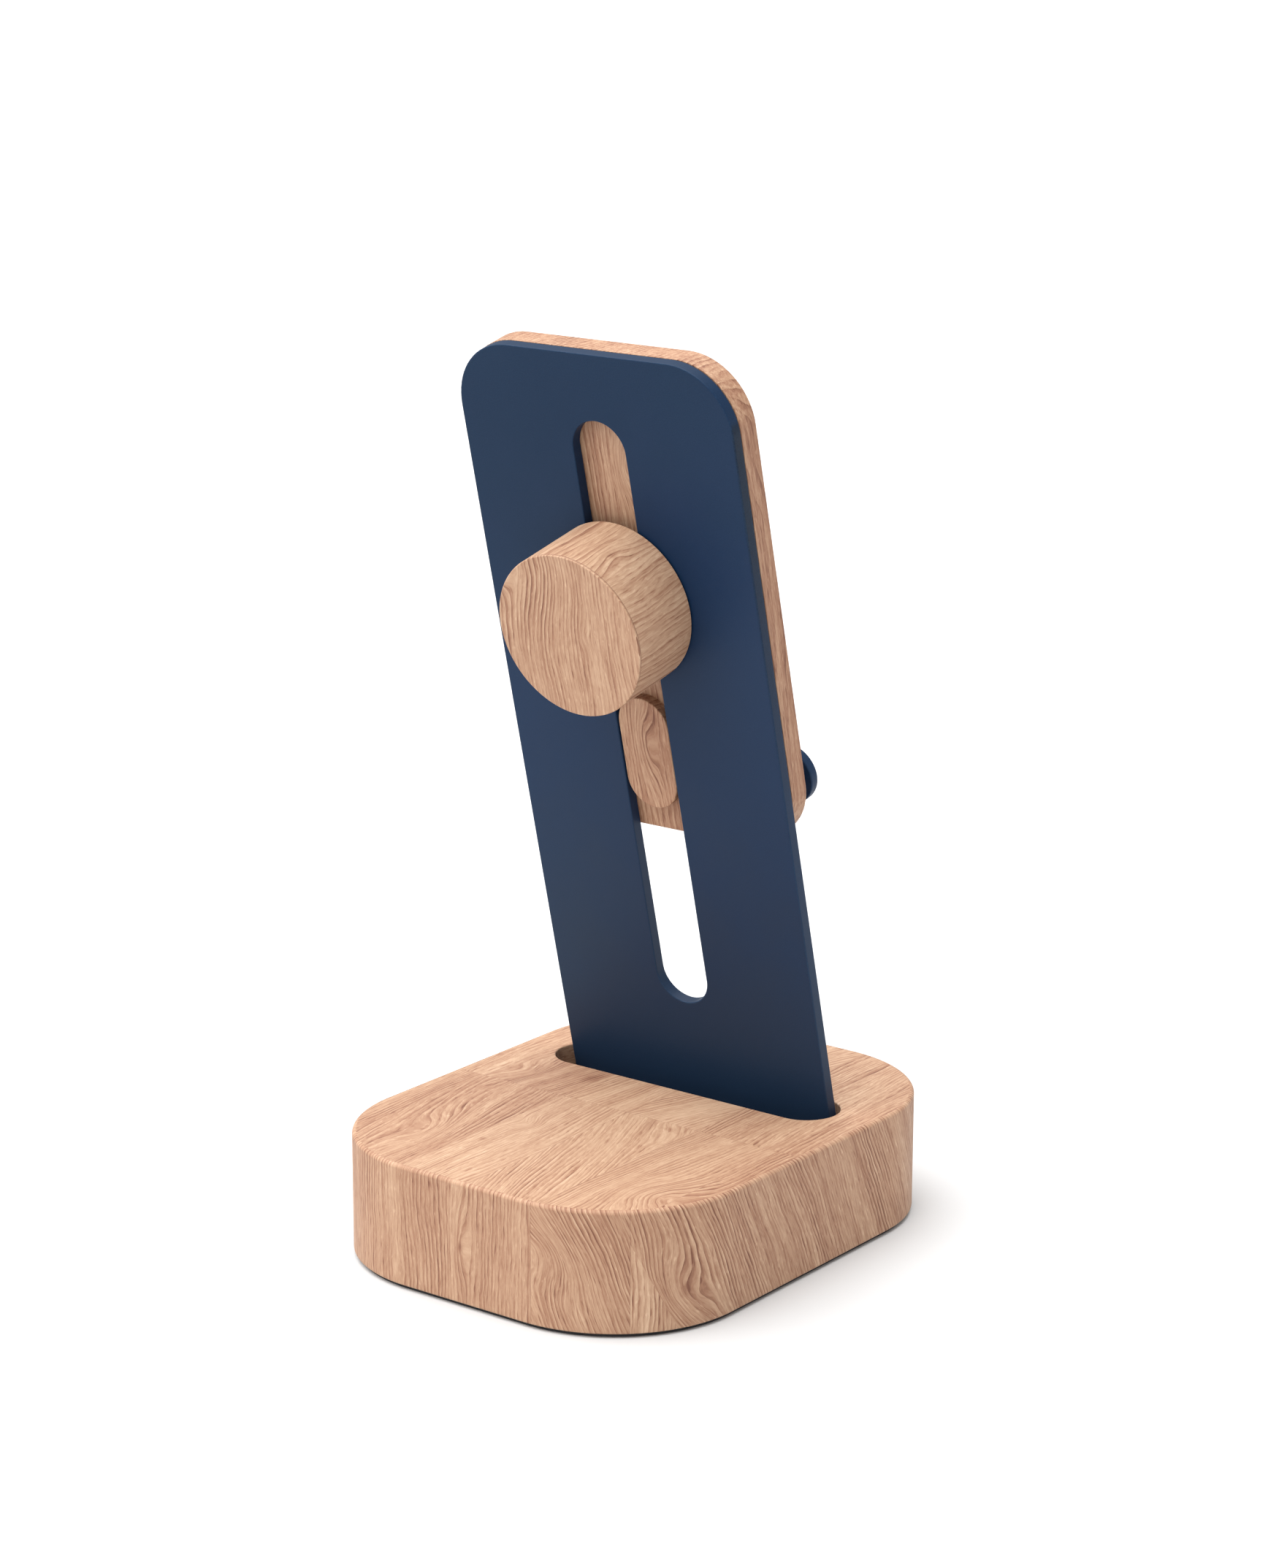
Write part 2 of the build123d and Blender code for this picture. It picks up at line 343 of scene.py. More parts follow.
# how fast each noise changes across, into and along the grain, then its detail and roughness
oakNoise = {"uneven": (0.22, 0.1, 0.006, 2.0, 0.5), "broken": (0.35, 0.3, 0.05, 3.0, 0.5),
            "figured": (0.06, 0.06, 0.03, 1.0, 0.5), "broad": (0.22, 0.2, 0.012, 3.0, 0.5),
            "streak": (1.1, 1.1, 0.06, 3.0, 0.65), "fibre": (2.6, 2.6, 0.30, 3.0, 0.7),
            "pore": (2.2, 2.2, 0.26, 1.0, 0.5), "fleck": (1.6, 1.6, 0.5, 1.0, 0.5)}
# what every oak piece starts from
plainGrain = {"broad": 0.6, "streak": 0.55, "fibre": 0.8, "pore": 0.25, "marks": [], "knots": []}


def figure(look, across, along, marks):
    # the sideways push that knots and swirls give the rings: each mark is a place, a size and a push
    push = 0.0
    for a, l, wide, tall, shift in marks:
        da, dl = (across - a) / wide, (along - l) / tall
        push = push + look.maths("EXPONENT", (da * da + dl * dl) * -1) * shift
    return push


def knots(look, across, along, spots):
    # the small dark hearts: each is a place and a size
    dark = 0.0
    for a, l, size in spots:
        da, dl = (across - a) / size, (along - l) / size
        dark = dark + look.maths("EXPONENT", (da * da + dl * dl * 0.6) * -1)
    return dark


def oak(look, across, depth, along, grain, tone=0.0, seam=0.0):
    # the wandering of the grain, wide and then small, which everything below follows
    wide = look.noise(look.point(across * 0.035, depth * 0.035, along * grain["wideRate"]), 1.0) - 0.5
    small = look.noise(look.point(across * 0.16, depth * 0.16, along * grain["smallRate"]), 2.0) - 0.5
    drift = across + wide * grain["wideWander"] + small * grain["smallWander"]
    drift = drift + figure(look, across, along, grain["marks"])

    def spread(name, sideways=drift):
        acrossRate, depthRate, alongRate, detail, roughness = oakNoise[name]
        spot = look.point(sideways * acrossRate, depth * depthRate, along * alongRate)
        return look.noise(spot, detail, roughness)

    # growth rings: a dark porous line that fades into plain wood
    ring = (drift / grain["ringWidth"] + spread("uneven") * grain["unevenRings"]).maths("FRACT")
    porous = (1 - ring) ** oakWood["ringFade"]
    broken = look.between(spread("broken"), 0.3, 0.68)
    # streaks of three widths, then dark pores and pale flecks
    broad = spread("broad") - 0.5
    streak = spread("streak") - 0.5
    fibre = spread("fibre") - 0.5
    pore = look.between(spread("pore"), 0.58, 0.72)
    fleck = look.between(spread("fleck"), 0.64, 0.76)
    # the rings show most in some patches and in the darker streaks
    figured = look.between(spread("figured", across), 0.36, 0.62, 0.55, 1)
    figured = figured * look.between(broad, -0.22, 0.16, 1.35, 0.45)
    shade = oakWood["plain"] + broad * grain["broad"] + streak * grain["streak"]
    shade = shade + fibre * grain["fibre"] + tone
    shade = shade - (porous - 0.3) * (0.2 + broken * 0.8) * figured * grain["ringDepth"]
    shade = shade - pore * grain["pore"] * (0.3 + porous) + fleck * oakWood["fleck"]
    shade = shade - knots(look, across, along, grain["knots"]) * oakWood["knot"]
    # the edges go paler, partly from wear and partly as a painted highlight
    rubbedAndSheen = look.worn(streak + 0.5)
    shade = shade + rubbedAndSheen * oakWood["rubbedAndSheen"]
    stops = [(place, oakTones[name]) for name, place in oakStops.items()]
    colour = look.node("ShaderNodeValToRGB", {"stops": stops}, {"Fac": shade})
    colour = look.mix(seam, colour, oakTones["vein"])
    roughness = look.between(shade, 0.2, 0.9, 0.64, 0.5) - rubbedAndSheen * 0.08
    height = 1 - pore * 0.8 + fibre * 0.3
    return look.surface(oakFinish, colour, roughness, height, oakWood["bump"])


def nearLine(place, line, width):
    # 1 within a joint's width of a line, and 0 elsewhere
    return (place - line).maths("ABSOLUTE") < width / 2


# camera

view = {"place": (-0.55064, 0.72346, 0.35656), "heading": 217.335, "down": 15.045, "roll": 0.12,
        "lens": 90.65, "sensor": 36, "nearest": 0.01}

camera = bpy.data.objects.new("camera", bpy.data.cameras.new("camera"))
bpy.context.scene.collection.objects.link(camera)
heading = Matrix.Rotation(radians(view["heading"]), 4, "Z")
pitch = Matrix.Rotation(radians(90 - view["down"]), 4, "X")
roll = Matrix.Rotation(radians(view["roll"]), 4, "Z")
camera.matrix_world = Matrix.Translation(view["place"]) @ heading @ pitch @ roll
camera.data.lens = view["lens"]
camera.data.sensor_width = view["sensor"]
camera.data.clip_start = view["nearest"]
bpy.context.scene.camera = camera
bpy.context.scene.view_settings.view_transform = "Standard"
print("camera set")


# floor and light

# each soft lamp: where it shines from, where it fades in, where it is full, and its strength
studio = {"floor": 6.0, "floorShade": 0.62, "sky": 0.68,
          "lamps": [((0.22, 0.20, 1.0), 0.62, 0.9, 3.5), ((0.75, 0.75, 0.35), 0.5, 0.95, 0.5)]}


def studioFloor():
    bm = bmesh.new()
    bmesh.ops.create_grid(bm, x_segments=1, y_segments=1, size=studio["floor"])
    mesh = bpy.data.meshes.new("floor")
    bm.to_mesh(mesh)
    bm.free()
    floor = bpy.data.objects.new("floor", mesh)
    bpy.context.scene.collection.objects.link(floor)
    look = Look("paleFloor")
    shade = studio["floorShade"]
    mesh.materials.append(look.surface({"Specular IOR Level": 0.0}, (shade, shade, shade), 0.9))


def studioLight():
    world = bpy.data.worlds.new("studio")
    bpy.context.scene.world = world
    look = Look("studio", world)
    direction = look.node("ShaderNodeTexCoord").out("Generated")
    strength = studio["sky"]
    for source, start, full, power in studio["lamps"]:
        aimed = {0: direction, 1: Vector(source).normalized()}
        facing = look.node("ShaderNodeVectorMath", {"operation": "DOT_PRODUCT"}, aimed, "Value")
        strength = strength + look.between(facing, start, full) * power
    background = look.node("ShaderNodeBackground", None, {"Color": (1, 1, 1), "Strength": strength})
    look.node("ShaderNodeOutputWorld", None, {"Surface": background})


studioFloor()
studioLight()
print("floor and light set")


# oak base

# joint places are in millimetres; each stave is a step in tone and in slant from the one before
base = {"corner": 34.4 * mm, "topRound": 1.0 * mm, "bottomBevel": 0.5 * mm, "pocketLength": 83.8 * mm,
        "pocketWidth": 17.2 * mm, "pocketY": -23.8 * mm, "pocketDepth": 17.0 * mm, "pocketRound": 0.4 * mm,
        "staves": {-45.5: (0.08, -0.05), -22.0: (0.05, 0.35), -1.3: (-0.03, -0.25), 18.7: (-0.11, 0.1),
                   43.7: (0.05, -0.15)},
        "endJoint": 5.3, "sideJoints": (124.75, 148.75), "jointWidth": 0.16, "sideSlant": 0.45,
        "wedgeSlope": 1.9, "wedgeHeight": 23.0, "wedgeTone": 0.14, "wedgeApart": 60}
topGrain = {**plainGrain, "ringWidth": 1.15, "unevenRings": 2.2, "ringDepth": 0.72,
            "wideRate": 0.010, "smallRate": 0.05, "wideWander": 12.0, "smallWander": 2.0,
            "marks": [(14.0, 26.0, 3.5, 4.0, 3.0), (36.0, 45.0, 6.0, 14.0, 6.0), (38.0, -4.0, 5.0, 8.0, 4.0),
                      (-42.0, 46.0, 8.0, 10.0, -6.0), (-18.0, 14.0, 6.0, 12.0, 3.0)],
            "knots": [(17.0, 41.0, 0.9), (22.0, -9.0, 2.0)]}
sideGrain = {**plainGrain, "ringWidth": 1.15, "unevenRings": 1.6, "ringDepth": 0.85,
             "wideRate": 0.02, "smallRate": 0.09, "wideWander": 6.0, "smallWander": 1.8,
             "marks": [(104.0, 16.0, 2.4, 9.0, 2.4), (166.0, 10.0, 8.0, 11.0, 7.0),
                       (137.0, 19.0, 8.0, 8.0, -6.0)],
             "knots": [(104.0, 15.0, 0.8), (167.5, 11.0, 1.0)]}


def patchTone(look, number, strength):
    # an even random tone for each glued stave
    random = look.node("ShaderNodeTexWhiteNoise", {"noise_dimensions": "1D"}, {"W": number})
    return (random - 0.5) * strength


def topOak():
    look = Look("oakTop")
    x, y, z = look.place()
    width = base["jointWidth"]
    stave, joint, tone, slant = 0.0, nearLine(y, base["endJoint"], width), -0.01, 0.0
    for edge, (toneStep, slantStep) in base["staves"].items():
        beyond = x > edge
        stave = stave + beyond
        tone = tone + beyond * toneStep
        slant = slant + beyond * slantStep
        joint = joint + nearLine(x, edge, width)
    # behind the end joint the staves are other boards, slanting the other way
    behind = y > base["endJoint"]
    stave = stave + behind * 7
    across = x + y * slant * (behind * 2 - 1)
    tone = tone + patchTone(look, stave, 0.06)
    return oak(look, across, stave * 13 + z, y, topGrain, tone, joint * 0.3)


def sideOak():
    look = Look("oakSide")
    s, z, _ = look.apart(look.node("ShaderNodeUVMap", {"uv_map": "unrolled"}))
    s, z = s / mm, z / mm
    first, second = base["sideJoints"]
    stave = (s > first) + (s > second)
    joint = nearLine(s, first, base["jointWidth"]) + nearLine(s, second, base["jointWidth"])
    # a pale wedge of straight grain stands in the last stave, which slants everywhere else
    wedge = (s > second) * ((s - second) * base["wedgeSlope"] + z < base["wedgeHeight"])
    across = s + z * (s > first) * base["sideSlant"] * (1 - wedge) + wedge * base["wedgeApart"]
    tone = patchTone(look, stave + 3, 0.05) + wedge * base["wedgeTone"] + (s > first) * 0.01 - 0.04
    return oak(look, across, stave * 17, z, sideGrain, tone, joint * 0.35)


def unrollSides(bm, halfX, halfY):
    # a UV map for the sides: the way round the base from the middle of its +X side, and the height
    layer = bm.loops.layers.uv.new("unrolled")
    for face in bm.faces:
        beyond = face.calc_center_median().x < 0
        for loop in face.loops:
            x, y, z = loop.vert.co
            cx, cy = max(-halfX, min(halfX, x)), max(-halfY, min(halfY, y))
            turn = atan2(y - cy, x - cx)
            if turn < -1e-4 and beyond:
                turn += 2 * pi
            if turn > pi / 2 + 1e-4:
                straight = 3 * halfX + 2 * halfY + cx - cy
            elif turn > -1e-4:
                straight = halfX - cx + cy
            else:
                straight = cx - halfX + cy
            loop[layer].uv = (turn * base["corner"] + straight, z)


def makeBase():
    low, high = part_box("base_block")
    bm = bmesh.new()
    roundedBlock(bm, low, high, base["corner"], 28)
    roundEdges(bm, list(flatEnd(bm, 1).edges), base["topRound"], 6)
    roundEdges(bm, list(flatEnd(bm, -1).edges), base["bottomBevel"], 3)
    everything = [*bm.verts, *bm.edges, *bm.faces]
    bmesh.ops.bisect_plane(bm, geom=everything, plane_co=(0, 0, 0), plane_no=(1, 0, 0))
    unrollSides(bm, high.x - base["corner"], high.y - base["corner"])
    for face in bm.faces:  # oakTop on the flat faces, oakSide on the rest
        face.material_index = 0 if abs(face.normal.z) > flatNormal else 1
    lids = [face for face in bm.faces if face.normal.z > flatNormal]
    rim = [edge for lid in lids for edge in lid.edges if not all(face in lids for face in edge.link_faces)]
    bmesh.ops.delete(bm, geom=lids, context="FACES")
    pocket = bmesh.new()
    reachX, reachY = base["pocketLength"] / 2, base["pocketWidth"] / 2
    start = Vector((-reachX, base["pocketY"] - reachY, high.z - base["pocketDepth"]))
    end = Vector((reachX, base["pocketY"] + reachY, high.z - base["pocketRound"]))
    roundedBlock(pocket, start, end, reachY, 20)
    openEnd(pocket, 1)
    _, mouth = joinShell(bm, pocket)
    mouth = flareMouth(bm, mouth, base["pocketRound"], 1)
    fillBetween(bm, rim, mouth)
    finishPiece(bm, "oakBase", "stand", "base_block", [topOak(), sideOak()])


makeBase()
print("base made")


# pad under the base

pad = {"corner": 33.2 * mm, "round": 0.15 * mm, "dark": (0.018, 0.018, 0.019), "pale": (0.052, 0.052, 0.055)}


def padRubber():
    look = Look("padRubber")
    x, y, z = look.place()
    grit = look.noise(look.point(x * 3, y * 3, z * 3), 4.0, 0.7)
    colour = look.mix(grit, pad["dark"], pad["pale"])
    roughness = look.between(grit, 0.3, 0.7, 0.95, 0.8)
    return look.surface({"Specular IOR Level": 0.3}, colour, roughness, grit, 0.05 * mm)


def makePad():
    low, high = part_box("base_pad")
    bm = bmesh.new()
    roundedBlock(bm, low, high, pad["corner"], 28)
    for side in (1, -1):
        roundEdges(bm, list(flatEnd(bm, side).edges), pad["round"], 2)
    finishPiece(bm, "antiSlipPad", "stand", "base_pad", [padRubber()])


makePad()
print("pad made")


# bent plate

# heights and the edge's place are in millimetres on the plate's own axes
# upper is painted shade for the top, lower is painted light towards the base, edge is painted shade on the
# side edges; rubbed is a paler navy for grit and for the edges' wear and painted highlight
coat = {"navy": (0.0075, 0.0240, 0.0650), "upper": (0.0030, 0.0180, 0.0500),
        "lower": (0.0125, 0.0270, 0.0580), "edge": (0.0010, 0.0060, 0.0150), "rubbedAndSheen": (0.018, 0.048, 0.100),
        "roughness": 0.46, "lowerTo": (-120, -30), "upperFrom": (-20, 60), "edgeAt": (39.0, 39.4),
        "edgeHeight": (-90, 40)}


def navyCoat():
    # painted shade darkens the coat towards the top and painted light makes it a little lighter and warmer
    # towards the base
    look = Look("navyCoat")
    x, y, z = look.place(plateOrigin, plateTurn)
    cloud = look.noise(look.point(x * 0.06, y * 0.06, z * 0.06), 3.0)
    grit = look.noise(look.point(x * 3.2, y * 3.2, z * 3.2), 3.0, 0.6)
    height = y + (cloud - 0.5) * 60
    # painted light: lighter and warmer towards the base; painted shade: darker towards the top and upper side
    colour = look.mix(look.between(height, *coat["lowerTo"]), coat["lower"], coat["navy"])
    colour = look.mix(look.between(height - x * 0.4, *coat["upperFrom"]), colour, coat["upper"])
    # painted shade on the plate's side edges, deepest towards the top
    edge = look.between(x.maths("ABSOLUTE"), *coat["edgeAt"]) * look.between(height, *coat["edgeHeight"])
    colour = look.mix(edge * 0.8, colour, coat["edge"])
    colour = look.mix(look.between(grit, 0.35, 0.75, 0.0, 0.12), colour, coat["rubbedAndSheen"])
    # the edges go a paler navy, partly from wear and partly as a painted highlight
    rubbedAndSheen = look.worn(cloud * 0.4 + grit * 0.6)
    colour = look.mix(rubbedAndSheen * 0.5, colour, coat["rubbedAndSheen"])
    roughness = coat["roughness"] + (grit - 0.5) * 0.12 + (cloud - 0.5) * 0.06 - rubbedAndSheen * 0.05
    return look.surface({"Specular IOR Level": 0.16}, colour, roughness, grit, 0.012 * mm)


def bendTongue(bm, floorHeight, footEnd):
    # pulls the middle of the plate's lower edge down into the pocket and bends it rearwards into a foot
    half, inside = plate["tongueWidth"] / 2, plate["bendInside"]
    bottom = min(bm.faces, key=lambda face: face.calc_center_median().y)
    for x in (-half, half):
        around = [bottom, *bottom.edges, *bottom.verts]
        bmesh.ops.bisect_plane(bm, geom=around, plane_co=(x, 0, 0), plane_no=(1, 0, 0))
        lowest = min(face.calc_center_median().y for face in bm.faces)
        bottoms = [face for face in bm.faces if face.calc_center_median().y < lowest + tiny]
        bottom = min(bottoms, key=lambda face: abs(face.calc_center_median().x))
    # straight down as far as the bend's centre, round it, and along the pocket's floor
    bendHeight = floorHeight + plate["thickness"] + inside
    centre = Vector((0, (bendHeight - plateOrigin.z - rearAxis.z * inside) / upAxis.z, inside))
    turn = -(pi / 2 + atan2(upAxis.y, upAxis.z)) / plate["bendSteps"]
    face = pullFace(bm, bottom)
    drop = centre.y - face.calc_center_median().y
    bmesh.ops.translate(bm, vec=(0, drop, 0), verts=list(face.verts))
    for _ in range(plate["bendSteps"]):
        face = pullFace(bm, face)
        bmesh.ops.rotate(bm, cent=centre, verts=list(face.verts), matrix=Matrix.Rotation(turn, 3, "X"))
    face = pullFace(bm, face)
    along = plateAxes.transposed() @ Vector((0, footEnd - (plateFrame @ centre).y, 0))
    bmesh.ops.translate(bm, vec=along, verts=list(face.verts))


def makePlate():
    _, high = onPlate("upright")
    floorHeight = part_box("upright")[0].z
    footEnd = base["pocketY"] + base["pocketWidth"] / 2 - plate["footGap"]
    baseTop = (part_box("base_block")[1].z - plateOrigin.z) / upAxis.z
    low = Vector((-high.x, baseTop - plate["shoulderBelow"], -plate["thickness"]))
    bm = bmesh.new()
    block(bm, low, Vector((high.x, high.y, 0)))
    for radius, level, segments in ((plate["topCorner"], high.y, 18), (plate["shoulderCorner"], low.y, 6)):
        corners = [edge for edge in standing(bm) if abs(edge.verts[0].co.y - level) < tiny]
        roundEdges(bm, corners, radius, segments)
    bendTongue(bm, floorHeight, footEnd)
    bmesh.ops.dissolve_limit(bm, angle_limit=radians(0.5), verts=bm.verts, edges=bm.edges)
    bm.normal_update()
    edge = plate["edgeRound"]
    roundEdges(bm, [e for e in bm.edges if e.calc_face_angle() > radians(60)], edge, 3)
    # the slot, through both faces
    rims = {side: openEnd(bm, side) for side in (-1, 1)}
    halfSlot = plate["slotWidth"] / 2
    start = Vector((-halfSlot, -plate["slotBelow"], edge - plate["thickness"]))
    end = Vector((halfSlot, plate["slotAbove"], -edge))
    slot = bmesh.new()
    roundedBlock(slot, start, end, halfSlot, 18)
    for side in (-1, 1):
        openEnd(slot, side)
    frontMouth, rearMouth = joinShell(bm, slot)
    fillBetween(bm, rims[-1], flareMouth(bm, frontMouth, edge, -1))
    fillBetween(bm, rims[1], flareMouth(bm, rearMouth, edge, 1))
    finishPiece(bm, "bentPlate", "stand", "upright", [navyCoat()], plateFrame)


makePlate()
print("plate made")


# backrest board

board = {"corner": 16.2 * mm, "frontRound": 0.5 * mm, "rearRound": 0.15 * mm, "boltHead": 6.3 * mm,
         "boltHole": 3.05 * mm, "screwHead": 3.95 * mm, "screwHole": 2.3 * mm, "lean": 0.4, "tone": -0.12,
         "edgeShade": -0.12, "edgeAt": (39.0, 39.45)}
pegs = {"x": 25.9 * mm, "y": -50.5 * mm, "neck": 4.0 * mm, "neckLength": 10.0 * mm, "flange": 7.6 * mm,
        "flangeThick": 2.6 * mm, "round": 0.4 * mm, "neckRound": 0.3 * mm, "hole": 2.05 * mm,
        "holeDepth": 7.5 * mm}
boardGrain = {**plainGrain, "ringWidth": 1.4, "unevenRings": 1.8, "ringDepth": 0.72,
              "wideRate": 0.012, "smallRate": 0.05, "wideWander": 9.0, "smallWander": 1.8,
              "marks": [(3.5, 33.0, 3.0, 7.0, 4.0), (-24.0, 8.0, 8.0, 22.0, 8.0),
                        (18.0, -30.0, 7.0, 16.0, -7.0)],
              "knots": [(-22.0, -12.0, 1.4)]}


def boardOak():
    # the grain runs up the plate and its rings lean through the board; painted shade darkens the long edges
    look = Look("oakBoard")
    x, y, z = look.place(plateOrigin, plateTurn)
    edge = look.between(x.maths("ABSOLUTE"), *board["edgeAt"])
    return oak(look, x + z * board["lean"], z, y, boardGrain, edge * board["edgeShade"] + board["tone"])


def screwHole(headRadius, radius, mouth, far, x, y):
    # the wall of a countersunk hole from its wide mouth to the other face
    shell = bmesh.new()
    slope = (headRadius - radius) * (1 if far > mouth else -1)
    lathe(shell, [(headRadius, mouth, 0), (radius, mouth + slope, 0), (radius, far, 0)], 64, (x, y))
    return shell


def makeBoard():
    low, high = onPlate("backrest")
    bm = bmesh.new()
    roundedBlock(bm, low, high, board["corner"], 18)
    roundEdges(bm, list(flatEnd(bm, -1).edges), board["frontRound"], 5)
    roundEdges(bm, list(flatEnd(bm, 1).edges), board["rearRound"], 2)
    fronts, rears = [openEnd(bm, -1)], [openEnd(bm, 1)]
    holes = [(board["boltHead"], board["boltHole"], low.z, high.z, 0, 0)]
    for x in (-pegs["x"], pegs["x"]):
        holes.append((board["screwHead"], board["screwHole"], high.z, low.z, x, pegs["y"]))
    for hole in holes:
        front, rear = joinShell(bm, screwHole(*hole))
        fronts.append(front)
        rears.append(rear)
    fillBetween(bm, *fronts)
    fillBetween(bm, *rears)
    finishPiece(bm, "oakBackrest", "carriage", "backrest", [boardOak()], plateFrame)


makeBoard()
print("backrest made")


# guide key

key = {"rearRound": 0.3 * mm, "cutFrom": (31.0, 7.0, 11.0), "tone": -0.09}
keyGrain = {**boardGrain, "marks": [(31.0, -31.0, 3.0, 9.0, 4.0)], "knots": []}


def keyOak():
    # the key is cut from another place in the same wood
    look = Look("oakKey")
    x, y, z = look.place(plateOrigin, plateTurn)
    across, up, depth = key["cutFrom"]
    return oak(look, x + z * board["lean"] + across, z + depth, y + up, keyGrain, key["tone"])


def makeKey():
    low, high = onPlate("guide_key")
    bm = bmesh.new()
    roundedBlock(bm, low, high, (high.x - low.x) / 2, 18)
    roundEdges(bm, list(flatEnd(bm, 1).edges), key["rearRound"], 4)
    finishPiece(bm, "guideKey", "carriage", "guide_key", [keyOak()], plateFrame)


makeKey()
print("key made")


# pegs

def makePeg(name, node, x):
    front = onPlate("backrest")[0].z
    holeEnd = front - pegs["holeDepth"]
    neckEnd = front - pegs["neckLength"]
    tip = neckEnd - pegs["flangeThick"]
    profile = [(0, holeEnd, 0), (pegs["hole"], holeEnd, 0),
               (pegs["hole"], front, 0), (pegs["neck"], front, 0), (pegs["neck"], neckEnd, pegs["neckRound"]),
               (pegs["flange"], neckEnd, pegs["round"]), (pegs["flange"], tip, pegs["round"]), (0, tip, 0)]
    bm = bmesh.new()
    lathe(bm, profile, 72, (x, pegs["y"]))
    finishPiece(bm, name, "carriage", node, [navyCoat()], plateFrame)


makePeg("pegRight", "peg_right", pegs["x"])
makePeg("pegLeft", "peg_left", -pegs["x"])
print("pegs made")


# knob

knob = {"bevel": 0.3 * mm, "jointGroove": 0.1 * mm, "insert": 4.5 * mm, "insertFlange": 5.5 * mm,
        "flangeDeep": 0.8 * mm, "boreDepth": 18.0 * mm, "washer": 16.3 * mm, "washerDeep": 1.3 * mm,
        "frontRound": 0.2 * mm, "jointPlace": 20.35, "jointWidth": 0.2, "jointShade": 0.6}
knobGrain = {**plainGrain, "ringWidth": 1.2, "unevenRings": 1.8, "ringDepth": 0.72,
             "wideRate": 0.02, "smallRate": 0.08, "wideWander": 5.0, "smallWander": 1.6,
             "marks": [(-10.5, 12.0, 3.2, 6.5, 2.3)], "knots": [(-10.5, 12.0, 0.9)]}
veneerGrain = {**plainGrain, "ringWidth": 1.2, "unevenRings": 1.8, "ringDepth": 0.76,
               "wideRate": 0.02, "smallRate": 0.08, "wideWander": 5.0, "smallWander": 1.4,
               "broad": 0.55, "streak": 0.5,
               "marks": [(2.0, 17.0, 14.0, 13.0, -6.0), (-9.5, 13.5, 3.2, 4.0, 4.0),
                         (13.0, 1.0, 2.0, 4.0, 1.2)]}


def knobJoint(z):
    # the fine line between the knob and its face
    return nearLine(z, knob["jointPlace"], knob["jointWidth"]) * knob["jointShade"]


def knobOak():
    # the grain of the solid knob runs along its axis, and its rings are turned by 60 degrees
    look = Look("oakKnob")
    x, y, z = look.place(plateOrigin, plateTurn)
    across, depth = x * 0.5 - y * 0.866, x * 0.866 + y * 0.5 + 40
    # painted light and shade: the knob goes lighter towards its top and darker towards its bottom
    tone = 0.05 + (y * 0.8 + x * 0.2) * 0.004
    return oak(look, across, depth, z, knobGrain, tone, knobJoint(z))


def veneerOak():
    # the face's grain runs up the plate
    look = Look("oakVeneer")
    x, y, z = look.place(plateOrigin, plateTurn)
    return oak(look, x + z * board["lean"], z, y, veneerGrain, 0.0, knobJoint(z))


def makeKnob():
    # the bore for the insert, the recess for the washer, then the outside
    low, high = onPlate("knob_body")
    insert, flange, washer = knob["insert"], knob["insertFlange"], knob["washer"]
    boreEnd, washerEnd = knob["boreDepth"], knob["washerDeep"]
    flangeEnd = washerEnd + knob["flangeDeep"]
    profile = [(0, boreEnd, 0), (insert, boreEnd, 0), (insert, flangeEnd, 0), (flange, flangeEnd, 0),
               (flange, washerEnd, 0), (washer, washerEnd, 0), (washer, low.z, knob["frontRound"]),
               (high.x, low.z, knob["bevel"]), (high.x, high.z, knob["jointGroove"]), (0, high.z, 0)]
    bm = bmesh.new()
    lathe(bm, profile, 144)
    finishPiece(bm, "turnedKnob", "knob", "knob_body", [knobOak()], plateFrame)


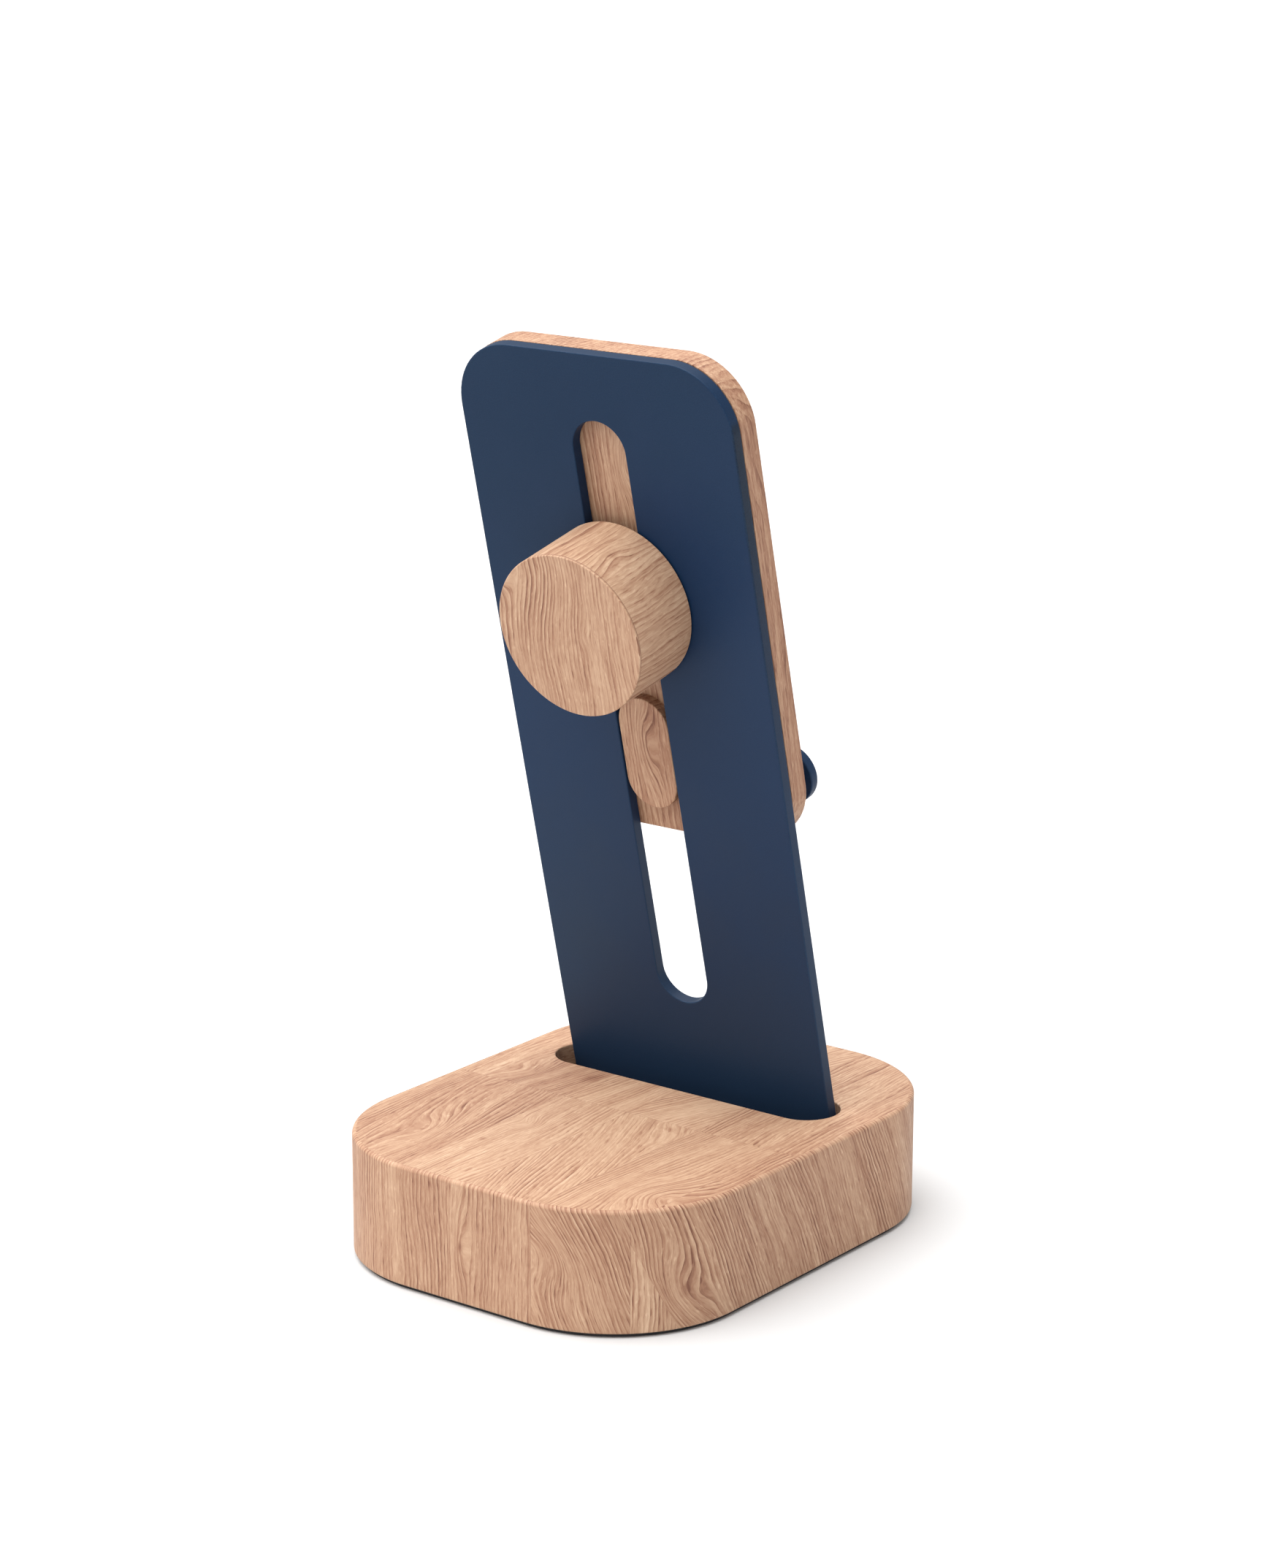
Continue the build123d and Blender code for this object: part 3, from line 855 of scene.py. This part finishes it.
def makeKnobFace():
    low, high = onPlate("knob_cap")
    profile = [(0, low.z, 0), (high.x, low.z, knob["jointGroove"]), (high.x, high.z, knob["bevel"]),
               (0, high.z, 0)]
    bm = bmesh.new()
    lathe(bm, profile, 144)
    finishPiece(bm, "knobFace", "knob", "knob_cap", [veneerOak()], plateFrame)


makeKnob()
makeKnobFace()
print("knob made")


# the hidden and small parts keep their own shapes and take a finish

def zincSteel():
    look = Look("zincSteel")
    x, y, z = look.place(plateOrigin, plateTurn)
    radius = (x * x + y * y) ** 0.5
    rings = look.noise(look.point(radius * 9, 0, 0), 2.0)
    cloud = look.noise(look.point(x * 0.5, y * 0.5, z * 0.5), 3.0)
    colour = look.mix(cloud, (0.50, 0.51, 0.52), (0.66, 0.67, 0.68))
    return look.surface({"Metallic": 1.0}, colour, 0.28 + rings * 0.16, rings, 0.006 * mm)


def brass():
    look = Look("brass")
    x, y, z = look.place()
    cloud = look.noise(look.point(x * 0.8, y * 0.8, z * 4), 3.0)
    colour = look.mix(cloud, (0.60, 0.40, 0.14), (0.80, 0.58, 0.24))
    return look.surface({"Metallic": 1.0}, colour, 0.25 + cloud * 0.2, cloud, 0.01 * mm)


def nylon():
    look = Look("nylon")
    x, y, z = look.place()
    grit = look.noise(look.point(x * 2, y * 2, z * 2), 4.0)
    colour = look.mix(grit, (0.012, 0.012, 0.013), (0.026, 0.026, 0.028))
    return look.surface({"Specular IOR Level": 0.4}, colour, 0.4 + grit * 0.2, grit, 0.01 * mm)


def beech():
    look = Look("beech")
    x, y, z = look.place(plateOrigin, plateTurn)
    fibre = look.noise(look.point(x * 4, y * 4, z * 0.4), 3.0)
    colour = look.mix(fibre, (0.45, 0.27, 0.15), (0.62, 0.42, 0.26))
    return look.surface(oakFinish, colour, 0.6, fibre, 0.03 * mm)


def dress(look, *nodes):
    for node in nodes:
        mesh = frame["nodes"][node].data
        mesh.materials.clear()
        mesh.materials.append(look)


dress(zincSteel(), "clamp_bolt", "foot_screws", "peg_screws")
dress(brass(), "knob_insert")
dress(nylon(), "guide_bush", "friction_washer")
dress(beech(), "key_dowels")
print("fittings dressed")

bpy.context.view_layer.update()
